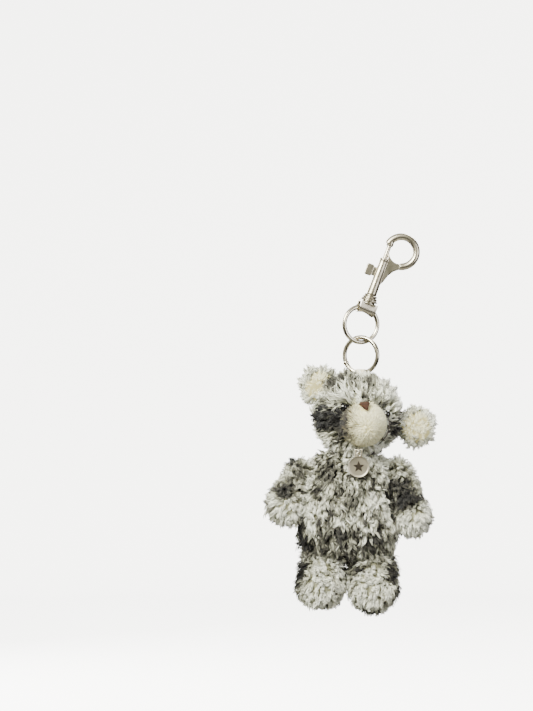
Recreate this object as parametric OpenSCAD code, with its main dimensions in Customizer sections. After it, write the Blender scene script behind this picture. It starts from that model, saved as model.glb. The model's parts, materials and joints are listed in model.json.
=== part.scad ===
// Plush bear keychain hanging from a swivel bolt snap.
// +Z is up, the bear faces -Y, and the origin is the inside top of the snap's loop.

/* [Bolt snap] */
// Lean of the snap from upright, its loop to the right
clip_tilt = 20.5; // [10:0.5:25]
// Inner radius of the loop
loop_in_r = 5.75; // [5.5:0.05:6.2]
// Thickness of the loop's round bar
loop_bar_d = 3.55; // [3:0.05:4]
// Length of the barrel
barrel_len = 19.1; // [18.5:0.1:20]
// Barrel radius at its top
barrel_top_r = 2.15; // [2.1:0.05:2.4]
// Barrel radius at its foot
barrel_foot_r = 2.6; // [2.4:0.05:3]
// Radius of the sliding bolt
bolt_r = 1.125; // [1:0.025:1.15]
// Travel of the bolt when the thumb knob is pulled
bolt_travel = 5.5; // [4:0.1:5.5]

/* [Rings] */
// Mean radius of both rings, to the middle of the wire
ring_r = 8.9; // [8.5:0.1:9.5]
// Diameter of the ring wire
ring_wire_d = 2.2; // [2:0.1:2.4]
// Heading of the upper ring's plane, right side away
upper_turn = 20; // [18:1:26]
// Heading of the lower ring's plane, right side near
lower_turn = -26; // [-32:1:-26]

/* [Head] */
// Radius of the head under its pile
head_r = 18.5; // [18:0.1:18.5]
// Roll of the face to the right
face_roll = 10; // [0:1:15]
// Turn of the face to the right
face_yaw = 10.5; // [0:0.5:15]
// Radius of the muzzle pad
muzzle_r = 10.7; // [9:0.1:11]
// Diameter of the bead eyes
eye_d = 4.2; // [3.5:0.1:4.5]
// Radius of each ear pad
ear_r = 8.6; // [7.5:0.1:9]

/* [Body] */
// Radius of the chest
chest_r = 13.5; // [12:0.1:13.5]
// Radius of the hips
hip_r = 15; // [14:0.1:15]
// Thickness of the knitted pile backing
cloth_t = 1; // [0.6:0.1:1.5]

/* [Charm] */
// Diameter of the charm disc
charm_d = 10.4; // [9:0.1:11]
// Thickness of the charm disc
charm_t = 1.2; // [0.8:0.1:1.6]

/* [Hidden] */

round_fn = 64;
pad_fn = 48;
soft_fn = 32;
running = 0.05;   // radial clearance of the sliding and turning fits
slack = 0.35;     // room round a hanging wire
eps = 0.01;

nickel = "silver";
white_pile = "gainsboro";
grey_pile = "darkgray";
cream_pile = "cornsilk";
filling = "white";

// ---- Places along the snap, in its own frame: barrel top at 0, +Z up the barrel ----
loop_right = 6.6;                   // loop centre, right of the barrel's axis
loop_up = 6.3;                      // loop centre, above the barrel's top
loop_mid_r = loop_in_r + loop_bar_d/2;
bolt_up = 7.7;                      // bolt's tip, inside the nose
nose_foot = 6.8;                    // foot of the nose, where the bolt enters
nose_gap = 0.25;                    // bolt's tip to the bottom of its seat
bolt_down = 10;                     // bolt's foot, below the barrel's top
bore_down = 17.6;                   // floor of the barrel's bore
knob_down = 7.5;                    // middle of the thumb knob
knob_h = 5.8;
neck_h = 4.5;
neck_w = 1.3;
stud_r = 0.8;
stud_head_r = 1.1;
stud_head_t = 0.7;
stud_gap = 0.1;
stud_top = -bore_down + stud_gap + stud_head_t;
collar_top = -barrel_len - 0.15;
eye_down = 26;                      // ring wire's centre in the swivel eye
eye_w = 9;                          // swivel eye, along the ring wire
eye_depth = 6.4;

up_dir = [sin(clip_tilt), 0, cos(clip_tilt)];
right_dir = [cos(clip_tilt), 0, -sin(clip_tilt)];
barrel_top = [0, 0, -loop_in_r] - loop_right*right_dir - loop_up*up_dir;

// ---- Places along the chain ----
// The swivel turns until the eye's tunnel runs along the upper ring's wire.
swivel_turn = atan(tan(upper_turn)*cos(clip_tilt));
wire_lean = asin(sin(clip_tilt)*cos(swivel_turn));
link_gap = 0.25;
ring_wire_r = ring_wire_d/2;
upper_dir = [cos(upper_turn), sin(upper_turn), 0];
upper_hang = barrel_top - eye_down*up_dir;
upper_c = upper_hang - ring_r*(sin(wire_lean)*upper_dir + [0, 0, cos(wire_lean)]);
lower_c = upper_c - [0, 0, 2*ring_r - ring_wire_d - link_gap];
tab_c = lower_c - [0, 0, ring_r];
tab_w = 4.6;
tab_t = 0.5;
tab_in_r = ring_wire_r + slack;
tab_neck = 2.6;                     // both layers of the tab and the turn-in between them
tab_tail = 5.6;                     // tab's cut end, below the ring wire
tack_down = 1.8;                    // bar tacks, below the ring wire and just above the crown

// ---- Head ----
head_c = [-22.2, 0, -86.95];
eye_spread = 34.6;                  // each eye, either side of the face's middle
eye_lift = 8;                       // eyes above the head's middle
eye_post_r = 0.8;
washer_r = 3.2;
washer_t = 0.8;
muzzle_c = [0.6, -17.2, -3.7];      // in the face's own frame
muzzle_long = 11.3;                 // muzzle's half-length, front to back
nose_w = 4.8;
nose_h = 7;
nose_lift = 55;                     // nose's middle, up the muzzle from its tip
nose_turn = -17;                    // and round the muzzle, towards the left
nose_t = 1.2;
ear_left_c = [-41.1, 0.5, -72.7];
ear_right_c = [7.3, 0.5, -93.2];
ear_half_t = 3;
ear_root_r = 3.4;
lining_r = 6.2;

// ---- Body ----
chest_c = [-26.45, 0, -119.8];
chest_half = 5.5;                   // chest ball's centre, either side of the middle
hip_c = [-26.45, 0, -141];
hip_half = 7.5;
seat_c = [-26.45, 0, -146.5];       // squares off the bottom of the trunk
seat_r = 9.5;
seat_half = 12.5;
// Each limb is [root centre, root radius, end centre, end radius].
arm_left = [[-51, -1, -116], 5.5, [-57.6, -4, -132], 8];
arm_right = [[-1.9, -1, -116], 5.5, [5, -4, -138], 7.8];
leg_left = [[-39.4, 0, -165.7], 9.6, [-40.5, -1.5, -171.8], 10.3];
leg_right = [[-13.8, 0, -165.7], 9.6, [-14.2, -1.5, -173], 10.8];

// ---- Charm ----
charm_x = -22.2;
charm_y = -18;
thread_r = 0.3;
thread_z = -103.9;
thread_half = 1.6;
thread_root = [-10.6, -112.3];      // y and z where the thread enters the chest
jump_r = 1.3;
jump_wire_r = 0.25;
jump_z = thread_z - (jump_r - jump_wire_r - thread_r - running);
lug_r = 0.95;
lug_wire_r = 0.32;
lug_z = jump_z - jump_r - 0.35;
charm_z = lug_z - lug_r - charm_d/2 + 0.2;
charm_rim = 0.7;

// ---- Frames and shared shapes ----

module in_clip() {
    translate(barrel_top) rotate([0, clip_tilt, 0]) children();
}

// The swivel's frame: +X along the tunnel of its eye.
module in_swivel() {
    in_clip() rotate([0, 0, swivel_turn]) children();
}

module in_face() {
    translate(head_c) rotate([0, face_roll, 0]) rotate([0, 0, face_yaw]) children();
}

// +Z points out of the head through an eye; side is -1 left, 1 right.
module at_eye(side) {
    in_face() rotate([0, 0, side*eye_spread]) rotate([90 - eye_lift, 0, 0]) children();
}

module torus(mean_r, wire_r) {
    rotate_extrude($fn = round_fn) translate([mean_r, 0]) circle(r = wire_r, $fn = 32);
}

// A ring hanging in an upright plane of the given heading.
module hung_ring(centre, heading) {
    translate(centre) rotate([0, 0, heading]) rotate([90, 0, 0]) torus(ring_r, ring_wire_r);
}

// Half the outline of an oval of radius a, half-length b.
function oval_half(a, b, n = 16) =
    [for (i = [0:n]) let(t = -90 + 180*i/n) [a*cos(t), b*sin(t)]];

// A round pad: radius a, half-length b along Z.
module pad(a, b) {
    rotate_extrude($fn = pad_fn) polygon(oval_half(a, b));
}

// Half the outline of a tapered limb with round ends: radius r0 at 0 and r1 at len.
function limb_half(r0, r1, len, n = 10) =
    let(lean = asin((r0 - r1)/len))
    concat(
        [for (i = [0:n]) let(t = -90 + (90 + lean)*i/n) [r0*cos(t), r0*sin(t)]],
        [for (i = [0:n]) let(t = lean + (90 - lean)*i/n) [r1*cos(t), len + r1*sin(t)]]
    );

// A limb between two centres, its surface drawn in by inset.
module limb(l, inset = 0) {
    v = l[2] - l[0];
    len = norm(v);
    translate(l[0])
        rotate([0, acos(v[2]/len), atan2(v[1], v[0])])
            rotate_extrude($fn = pad_fn)
                polygon(limb_half(l[1] - inset, l[3] - inset, len));
}

module limb_cover(l) {
    difference() {
        limb(l);
        limb(l, cloth_t);
    }
}

// The trunk's round form, drawn in by inset.
module trunk(inset = 0) {
    hull() {
        for (side = [-1, 1]) {
            translate(chest_c + [side*chest_half, 0, 0]) sphere(r = chest_r - inset, $fn = soft_fn);
            translate(hip_c + [side*hip_half, 0, 0]) sphere(r = hip_r - inset, $fn = soft_fn);
            translate(seat_c + [side*seat_half, 0, 0]) sphere(r = seat_r - inset, $fn = soft_fn);
        }
    }
}

// ---- Bolt snap ----

// The loop's bar runs round from the nose, over the top and down into the web.
module loop_bar() {
    nose_angle = 180 - asin((nose_foot + 0.9 - loop_up)/loop_mid_r);
    translate([loop_right, 0, loop_up]) rotate([90, 0, 0])
        rotate_extrude(angle = nose_angle + 75, start = -75, $fn = round_fn)
            translate([loop_mid_r, 0]) circle(d = loop_bar_d, $fn = 32);
}

module nose() {
    translate([0, 0, nose_foot]) cylinder(r = loop_bar_d/2 - 0.05, h = 2.2, $fn = round_fn);
}

// Flat web that joins the loop to the side of the barrel.
module web() {
    arc = [for (a = [-95:-10:-165]) [loop_right + loop_in_r*cos(a) - 0.1, loop_up + loop_in_r*sin(a) - 0.6]];
    translate([0, 1.15, 0]) rotate([90, 0, 0])
        linear_extrude(2.3)
            polygon(concat([[9.5, -1.9], [6.6, -4.2], [4.6, -7.2], [3.2, -11.5], [1.6, -14], [1.4, -1]],
                           [for (i = [len(arc) - 1:-1:0]) arc[i]], [[9.5, 0.2]]));
}

module hook_body() {
    color(nickel) in_clip() difference() {
        union() {
            translate([0, 0, -barrel_len])
                cylinder(r1 = barrel_foot_r, r2 = barrel_top_r, h = barrel_len, $fn = round_fn);
            translate([0, 0, -0.9]) cylinder(r = barrel_top_r + 0.15, h = 0.9, $fn = round_fn);
            loop_bar();
            nose();
            web();
        }
        // Bore for the bolt and its spring, and the hole for the swivel's stud.
        translate([0, 0, -bore_down])
            cylinder(r = bolt_r + running, h = bore_down + bolt_up + nose_gap, $fn = round_fn);
        translate([0, 0, -barrel_len - 1]) cylinder(r = stud_r + running, h = 3, $fn = round_fn);
        // Slot that the thumb knob's neck slides in.
        translate([-barrel_foot_r - 1, -neck_w/2 - 0.1, -knob_down - neck_h/2 - bolt_travel - 0.3])
            cube([barrel_foot_r + 1, neck_w + 0.2, neck_h + bolt_travel + 0.6]);
    }
}

module bolt() {
    color(nickel) in_clip() difference() {
        translate([0, 0, -bolt_down]) cylinder(r = bolt_r, h = bolt_down + bolt_up, $fn = round_fn);
        // Flat that the knob's neck is riveted to.
        translate([-bolt_r - 1, -neck_w/2, -knob_down - neck_h/2]) cube([1.5, neck_w, neck_h]);
    }
}

module thumb_knob() {
    grip = 3.5;
    reach = 3.4;
    color(nickel) in_clip() translate([0, 0, -knob_down]) {
        translate([-reach - 0.5, -neck_w/2, -neck_h/2]) cube([reach + 1 - bolt_r, neck_w, neck_h]);
        translate([-reach - grip/2 - 0.2, 0, 0]) rotate([90, 0, 0]) translate([0, 0, -1.5])
            linear_extrude(3) {
                square([grip, knob_h - 1.6], center = true);
                square([grip - 1.6, knob_h], center = true);
                for (x = [-1, 1], z = [-1, 1])
                    translate([x*(grip/2 - 0.8), z*(knob_h/2 - 0.8)]) circle(r = 0.8, $fn = 24);
            }
    }
}

// Points round the spring's wire at angle t of its helix.
function spring_ring(t, z, coil_r, wire_r) =
    [for (k = [0:5]) let(q = coil_r + wire_r*cos(60*k)) [q*cos(t), q*sin(t), z + wire_r*sin(60*k)]];

module bolt_spring() {
    wire_r = 0.11;
    coil_r = 0.9;
    turns = 5;
    steps = turns*12;
    bottom = stud_top + 0.02 + wire_r;
    rise = -bolt_down - 0.02 - wire_r - bottom;
    points = [for (i = [0:steps]) each spring_ring(360*turns*i/steps, bottom + rise*i/steps, coil_r, wire_r)];
    sides = [for (i = [0:steps - 1], k = [0:5]) [6*i + k, 6*i + (k + 1) % 6, 6*i + 6 + (k + 1) % 6, 6*i + 6 + k]];
    color("gray") in_clip()
        polyhedron(points, concat([[5, 4, 3, 2, 1, 0]], sides, [[for (k = [0:5]) 6*steps + k]]), 3);
}

// Trumpet bore round the ring wire, which curves away towards the tunnel's ends.
module wire_tunnel() {
    n = 6;
    half = eye_w/2 + 0.3;
    profile = [for (i = [-n:n]) let(s = half*i/n) [ring_wire_r + slack + s*s/(2*ring_r), s]];
    rotate([0, 90, 0]) rotate_extrude($fn = pad_fn)
        polygon(concat([[0, -half]], profile, [[0, half]]));
}

module swivel_eye() {
    collar_h = 1.6;
    flare_h = 1.6;
    groove_h = 0.8;
    flare_z = collar_top - collar_h;
    groove_z = flare_z - flare_h;
    head_z = groove_z - groove_h;
    cheek_r = eye_depth/2;
    color(nickel) in_swivel() difference() {
        union() {
            translate([0, 0, flare_z]) cylinder(r1 = 3.1, r2 = 2.8, h = collar_h, $fn = round_fn);
            translate([0, 0, groove_z]) cylinder(r1 = 4, r2 = 3.1, h = flare_h, $fn = round_fn);
            translate([0, 0, head_z - 1]) cylinder(r = 3.2, h = groove_h + 1, $fn = round_fn);
            // Cheeks of the eye: a band with a round foot, seen from its side.
            translate([-eye_w/2, 0, 0]) rotate([90, 0, 90]) linear_extrude(eye_w) {
                translate([0, -eye_down - 0.5]) circle(r = cheek_r, $fn = round_fn);
                translate([-cheek_r, -eye_down - 0.5]) square([eye_depth, head_z + eye_down + 0.5]);
            }
        }
        translate([0, 0, -eye_down]) {
            intersection() {
                wire_tunnel();
                translate([0, 0, -5]) cube([20, 20, 10], center = true);
            }
            // Room above the wire.
            translate([-eye_w, -1.75, -eps]) cube([2*eye_w, 3.5, 1.9]);
        }
        // Arched foot of the band.
        translate([0, 10, -eye_down - 11.5]) rotate([90, 0, 0])
            cylinder(r = 8.9, h = 20, $fn = round_fn);
        // Seat of the stud.
        translate([0, 0, head_z + 0.4]) cylinder(r = stud_r, h = 10, $fn = round_fn);
    }
}

module swivel_stud() {
    stud_foot = collar_top - 3.6;
    color(nickel) in_clip() {
        translate([0, 0, stud_foot]) cylinder(r = stud_r, h = stud_top - stud_foot, $fn = round_fn);
        translate([0, 0, stud_top - stud_head_t]) cylinder(r = stud_head_r, h = stud_head_t, $fn = round_fn);
    }
}

// ---- Rings and tab ----

module ring_upper() {
    color(nickel) hung_ring(upper_c, upper_turn);
}

module ring_lower() {
    weld_angle = 205;
    color(nickel) {
        hung_ring(lower_c, lower_turn);
        // Bead of the welded joint.
        translate(lower_c) rotate([0, 0, lower_turn])
            translate([ring_r*cos(weld_angle), 0, ring_r*sin(weld_angle)])
                sphere(r = ring_wire_r + 0.25, $fn = 32);
    }
}

// Outline of the looped tab seen along the ring wire, grown by g.
module tab_outline(g = 0) {
    circle(r = tab_in_r + tab_t + g, $fn = pad_fn);
    translate([-tab_neck/2 - g, -tab_tail - g]) square([tab_neck + 2*g, tab_tail - 0.4]);
}

module in_tab() {
    translate(tab_c) rotate([90, 0, 90 + lower_turn]) translate([0, 0, -tab_w/2]) children();
}

module ribbon_tab() {
    color(cream_pile) in_tab() difference() {
        linear_extrude(tab_w) tab_outline();
        translate([0, 0, -1]) cylinder(r = tab_in_r, h = tab_w + 2, $fn = pad_fn);
    }
}

// Bar tack across the tab, on both faces.
module tab_stitching() {
    bar = 0.35;
    color("ivory") in_tab()
        for (side = [-1, 1])
            translate([side*(tab_neck/2 + bar/2), -tack_down, tab_w/2]) cube([bar, bar, tab_w - 1], center = true);
}

// ---- Head ----

// Slot through the pile backing that the tab is sewn into.
module tab_slot(g) {
    in_tab() translate([0, 0, -g]) linear_extrude(tab_w + 2*g) tab_outline(g);
}

module muzzle_form(inset = 0) {
    in_face() translate(muzzle_c) rotate([90, 0, 0]) pad(muzzle_r - inset, muzzle_long - inset);
}

module head_ball(inset = 0) {
    translate(head_c) sphere(r = head_r - inset, $fn = round_fn);
}

module head_cover() {
    color(white_pile) difference() {
        head_ball();
        head_ball(cloth_t);
        tab_slot(0.05);
        for (side = [-1, 1]) at_eye(side) cylinder(r = eye_post_r, h = head_r + 5, $fn = pad_fn);
    }
}

module head_stuffing() {
    color(filling) difference() {
        head_ball(cloth_t);
        tab_slot(0.05);
        for (side = [-1, 1])
            at_eye(side) translate([0, 0, head_r - 5]) cylinder(r = washer_r, h = 10, $fn = pad_fn);
    }
}

module ear_form(centre, inset = 0) {
    translate(centre) rotate([90, 0, 0]) pad(ear_r - inset, ear_half_t - inset);
}

// Narrow root that the ear is sewn on by.
module ear_root(centre) {
    v = head_c - centre;
    translate(centre) rotate([0, acos(v[2]/norm(v)), atan2(v[1], v[0])])
        translate([0, 0, ear_r - 2]) cylinder(r = ear_root_r, h = norm(v) - ear_r - head_r/2, $fn = pad_fn);
}

// Ear pad without the lining that faces forward.
module ear(centre) {
    difference() {
        union() {
            ear_form(centre);
            ear_root(centre);
        }
        lining(centre);
        head_ball();
    }
}

module lining(centre) {
    difference() {
        intersection() {
            ear_form(centre);
            translate(centre) rotate([90, 0, 0]) cylinder(r = lining_r, h = 10, $fn = pad_fn);
        }
        ear_form(centre, cloth_t);
        head_ball();
    }
}

module ear_left() { color(white_pile) ear(ear_left_c); }
module ear_right() { color(white_pile) ear(ear_right_c); }
module ear_left_lining() { color(cream_pile) lining(ear_left_c); }
module ear_right_lining() { color(cream_pile) lining(ear_right_c); }

module muzzle_cover() {
    color(cream_pile) difference() {
        muzzle_form();
        muzzle_form(cloth_t);
        head_ball();
        nose_plate(3);
        for (side = [-1, 1]) eye_bead(side, 0.05);
    }
}

module muzzle_stuffing() {
    color(filling) difference() {
        muzzle_form(cloth_t);
        head_ball();
        nose_plate(3);
        for (side = [-1, 1]) eye_bead(side, 0.05);
    }
}

// Kite-shaped pad of the nose, on the muzzle's upper front.
module nose_plate(up = 0) {
    at = [0, -muzzle_long*cos(nose_lift), muzzle_r*sin(nose_lift)];
    in_face() translate(muzzle_c) rotate([0, nose_turn, 0]) translate(at) rotate([90 - nose_lift, 0, 0])
        translate([0, 0, -nose_t + 0.4]) linear_extrude(nose_t + up)
            polygon([[0, -nose_h/2], [nose_w/2, nose_h*0.2], [nose_w*0.3, nose_h/2],
                     [-nose_w*0.3, nose_h/2], [-nose_w/2, nose_h*0.2]]);
}

module nose_stitching() {
    color("sienna") nose_plate();
}

// The bead sits half sunk in the pile; grown by g.
module eye_bead(side, g = 0) {
    at_eye(side) translate([0, 0, head_r + 1]) sphere(r = eye_d/2 + g, $fn = 32);
}

module eye(side) {
    difference() {
        union() {
            eye_bead(side);
            at_eye(side) translate([0, 0, head_r - 4]) cylinder(r = eye_post_r, h = 4, $fn = pad_fn);
        }
        // The bead's back rests on the cloth.
        difference() {
            head_ball();
            at_eye(side) cylinder(r = eye_post_r, h = head_r + 5, $fn = pad_fn);
        }
    }
}

module eye_washer(side) {
    at_eye(side) translate([0, 0, head_r - cloth_t - washer_t - 0.4]) difference() {
        cylinder(r = washer_r - 0.1, h = washer_t, $fn = pad_fn);
        translate([0, 0, -1]) cylinder(r = eye_post_r, h = 3, $fn = pad_fn);
    }
}

module eye_left() { color("black") eye(-1); }
module eye_right() { color("black") eye(1); }
module eye_washer_left() { color("gray") eye_washer(-1); }
module eye_washer_right() { color("gray") eye_washer(1); }

// ---- Body and limbs ----

module body_cover() {
    color(white_pile) difference() {
        trunk();
        trunk(cloth_t);
        thread(0.02);
    }
}

module body_stuffing() {
    color(filling) trunk(cloth_t);
}

module arm_left_cover() { color(grey_pile) limb_cover(arm_left); }
module arm_right_cover() { color(grey_pile) limb_cover(arm_right); }
module leg_left_cover() { color(white_pile) limb_cover(leg_left); }
module leg_right_cover() { color(white_pile) limb_cover(leg_right); }
module arm_left_stuffing() { color(filling) limb(arm_left, cloth_t); }
module arm_right_stuffing() { color(filling) limb(arm_right, cloth_t); }
module leg_left_stuffing() { color(filling) limb(leg_left, cloth_t); }
module leg_right_stuffing() { color(filling) limb(leg_right, cloth_t); }

// ---- Charm ----

// A straight round bar between two points.
module bar(a, b, r) {
    v = b - a;
    translate(a) rotate([0, acos(v[2]/norm(v)), atan2(v[1], v[0])]) cylinder(r = r, h = norm(v), $fn = 24);
}

// Thread staple that carries the jump ring, its legs sewn into the chest; grown by g.
module thread(g = 0) {
    front = [charm_x, charm_y, thread_z];
    root = [charm_x, thread_root[0], thread_root[1]];
    step = [thread_half, 0, 0];
    bar(front - step, front + step, thread_r + g);
    for (side = [-1, 1]) {
        bar(front + side*step, root + side*step, thread_r + g);
        translate(front + side*step) sphere(r = 1.2*thread_r + g, $fn = 24);
    }
}

module charm_thread() {
    color(cream_pile) thread();
}

module charm_ring() {
    color(nickel) translate([charm_x, charm_y, jump_z]) rotate([0, 90, 0]) torus(jump_r, jump_wire_r);
}

module charm_disc() {
    color(nickel) {
        translate([charm_x, charm_y + charm_t/2, charm_z]) rotate([90, 0, 0]) difference() {
            cylinder(d = charm_d, h = charm_t, $fn = round_fn);
            translate([0, 0, charm_t - 0.3]) cylinder(r = charm_d/2 - charm_rim, h = 1, $fn = round_fn);
        }
        translate([charm_x, charm_y, lug_z]) rotate([90, 0, 0]) torus(lug_r, lug_wire_r);
    }
}

// Raised five-pointed star in the middle of the disc.
module charm_motif() {
    tip = 2.9;
    notch = 1.25;
    color("gray") translate([charm_x, charm_y - charm_t/2 + 0.3, charm_z]) rotate([90, 0, 0])
        linear_extrude(0.25)
            polygon([for (i = [0:9]) let(r = i % 2 == 0 ? tip : notch) [r*sin(36*i), r*cos(36*i)]]);
}

hook_body();
bolt();
thumb_knob();
bolt_spring();
swivel_eye();
swivel_stud();
ring_upper();
ring_lower();
ribbon_tab();
tab_stitching();
head_cover();
head_stuffing();
ear_left();
ear_left_lining();
ear_right();
ear_right_lining();
muzzle_cover();
muzzle_stuffing();
nose_stitching();
eye_left();
eye_right();
eye_washer_left();
eye_washer_right();
body_cover();
body_stuffing();
charm_thread();
charm_ring();
charm_disc();
charm_motif();
arm_left_cover();
arm_left_stuffing();
arm_right_cover();
arm_right_stuffing();
leg_left_cover();
leg_left_stuffing();
leg_right_cover();
leg_right_stuffing();
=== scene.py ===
"""Plush bear keychain on a swivel bolt snap: the looks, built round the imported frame.

+Z is up, the bear faces -Y, and lengths are in millimetres until they become a mesh.
"""
import json
import math

import bpy
import numpy as np
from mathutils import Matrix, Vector, noise
from mathutils.bvhtree import BVHTree


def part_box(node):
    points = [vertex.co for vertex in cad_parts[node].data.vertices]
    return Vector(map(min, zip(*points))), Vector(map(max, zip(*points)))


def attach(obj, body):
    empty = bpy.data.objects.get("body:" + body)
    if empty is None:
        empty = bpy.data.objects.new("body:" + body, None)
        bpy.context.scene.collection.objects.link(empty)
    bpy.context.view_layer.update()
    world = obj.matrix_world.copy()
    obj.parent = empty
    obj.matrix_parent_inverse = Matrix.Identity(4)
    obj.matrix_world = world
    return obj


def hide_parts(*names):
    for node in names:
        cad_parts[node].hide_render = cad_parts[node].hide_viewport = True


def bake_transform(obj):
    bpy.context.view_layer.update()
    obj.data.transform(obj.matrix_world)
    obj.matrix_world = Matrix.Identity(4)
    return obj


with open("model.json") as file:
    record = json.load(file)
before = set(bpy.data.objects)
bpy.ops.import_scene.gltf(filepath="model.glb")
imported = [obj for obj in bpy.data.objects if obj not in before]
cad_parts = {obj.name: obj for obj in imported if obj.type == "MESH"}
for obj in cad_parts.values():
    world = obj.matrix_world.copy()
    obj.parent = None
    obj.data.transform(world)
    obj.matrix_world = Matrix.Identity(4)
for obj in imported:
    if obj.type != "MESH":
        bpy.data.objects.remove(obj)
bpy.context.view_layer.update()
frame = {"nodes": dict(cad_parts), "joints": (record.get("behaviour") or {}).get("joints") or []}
joints = {joint["name"]: joint for joint in frame["joints"]}

MM = 0.001
NOISE_SEED = 7
noise.seed_set(NOISE_SEED)  # unseeded, the noise vectors differ from run to run


# ---------------------------------------------------------------- places from the frame

def box_mm(node):
    low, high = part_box(node)
    return np.array(low) / MM, np.array(high) / MM


def middle(node):
    low, high = box_mm(node)
    return (low + high) / 2


def half(node):
    low, high = box_mm(node)
    return (high - low) / 2


def at(node, right=0.0, near=0.0, up=0.0):
    """A point in a node's box: each number runs from -1 to 1, rightwards, towards the viewer and up."""
    return middle(node) + half(node) * np.array([right, -near, up])


def unit(v):
    return v / np.maximum(np.linalg.norm(v, axis=-1, keepdims=True), 1e-9)


def corners_of(mesh):
    points = np.empty(len(mesh.vertices) * 3, np.float32)
    mesh.vertices.foreach_get("co", points)
    return points.reshape(-1, 3).astype(float) / MM


def flat_axes(node):
    """A flat node's directions: across, up along its longest side, and out of it towards the viewer."""
    points = corners_of(frame["nodes"][node].data)
    _, _, axes = np.linalg.svd(points - points.mean(axis=0), full_matrices=False)
    along, across, out = axes
    along = along * np.sign(along[2])
    out = out * -np.sign(out[1])
    return np.cross(along, out) * np.sign(np.cross(along, out)[0]), along, out


HEAD = middle("head_cover")
MUZZLE = middle("muzzle_cover")
MUZZLE_R = half("muzzle_cover")[0]
MUZZLE_AXIS = unit(MUZZLE - HEAD)
NOSE = middle("nose_stitching")
CHARM = at("charm_disc", 0, 0, -1) + [0, 0, half("charm_disc")[0]]
SNAP_UP = -np.array(joints["bolt_slide"]["axis"])
BARREL_FOOT = np.array(joints["swivel_spin"]["pos_m"]) / MM


# ---------------------------------------------------------------- materials

def linear(hex_colour):
    """An sRGB hex colour as linear red, green, blue and alpha."""
    parts = [int(hex_colour[i:i + 2], 16) / 255 for i in (1, 3, 5)]
    return [c / 12.92 if c <= 0.04045 else ((c + 0.055) / 1.055) ** 2.4 for c in parts] + [1.0]


def new_material(name, **settings):
    """A material whose shader's own sockets take the settings: (material, node tree, shader)."""
    material = bpy.data.materials.new(name)
    material.use_nodes = True
    shader = material.node_tree.nodes["Principled BSDF"]
    for socket, value in settings.items():
        shader.inputs[socket.replace("_", " ").title().replace("Ior", "IOR")].default_value = value
    return material, material.node_tree, shader


def add(tree, kind, links=(), stops=(), **settings):
    """Adds a node.

    Settings name its properties, its inputs, or its inputs by number. Links are (input, socket), and stops
    are a colour ramp's (place, colour).
    """
    node = tree.nodes.new("ShaderNode" + kind)
    for name, value in settings.items():
        if hasattr(node, name):
            setattr(node, name, value)
        elif name[:2] == "in" and name[2:].isdigit():
            node.inputs[int(name[2:])].default_value = value
        else:
            node.inputs[name.replace("_", " ").title()].default_value = value
    for name, socket in links:
        tree.links.new(socket, node.inputs[name])
    if stops:
        band = node.color_ramp
        while len(band.elements) < len(stops):
            band.elements.new(0.5)
        for element, (place, colour) in zip(band.elements, stops):
            element.position = place
            element.color = linear(colour)
    return node


def feed(tree, shader, **sockets):
    """Links sockets to the shader's inputs of the same names."""
    for name, socket in sockets.items():
        tree.links.new(socket, shader.inputs[name.replace("_", " ").title()])


def per_mm(size_mm):
    """A texture scale whose features are size_mm across, on Object coordinates in metres."""
    return 1000.0 / size_mm


def pile_material(name, tones, root, rough=0.8):
    """Brushed acrylic pile: matt with a soft sheen, toned by its dye, and darker at its roots: the fibres'
    khaki roots with painted shade between the locks on top.
    """
    material, tree, shader = new_material(
        name, roughness=rough, specular_ior_level=0.3, sheen_weight=0.1, sheen_roughness=0.5)
    coords = add(tree, "TexCoord").outputs["Object"]
    dye, along, tint = (
        add(tree, "Attribute", attribute_name=key).outputs["Fac"] for key in ("dye", "along", "tint"))
    dyed = add(tree, "ValToRGB", [("Fac", dye)], tones).outputs["Color"]
    # Painted shade: near the roots the dyed colour is multiplied by the root tone, for the shade deep between
    # the locks as well as the roots' own khaki. It fades out by 0.6 of the way up a strand.
    painted_root_shade = add(tree, "MixRGB", [("Color1", dyed)], blend_type="MULTIPLY", fac=1.0, color2=linear(root))
    depth = add(tree, "MapRange", [("Value", along)], from_min=0.05, from_max=0.6)
    rooted = add(tree, "MixRGB", [("Fac", depth.outputs[0]), ("Color1", painted_root_shade.outputs[0]), ("Color2", dyed)])
    # Single filaments are too fine to show, so the grain within a lock is drawn 0.6 mm wide.
    grain = add(tree, "TexNoise", [("Vector", coords)], scale=per_mm(0.6), detail=2.0).outputs["Fac"]
    lock = add(tree, "MapRange", [("Value", tint)], to_min=0.78)
    fleck = add(tree, "MapRange", [("Value", grain)], from_min=0.3, from_max=0.7, to_min=0.9, to_max=1.05)
    shade = add(tree, "Math", [(0, lock.outputs[0]), (1, fleck.outputs[0])], operation="MULTIPLY")
    toned = add(tree, "VectorMath", [(0, rooted.outputs[0]), ("Scale", shade.outputs[0])], operation="SCALE")
    relief = add(tree, "Bump", [("Height", grain)], strength=0.3, distance=0.15 * MM)
    feed(tree, shader, base_color=toned.outputs[0], normal=relief.outputs[0])
    return material


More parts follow.
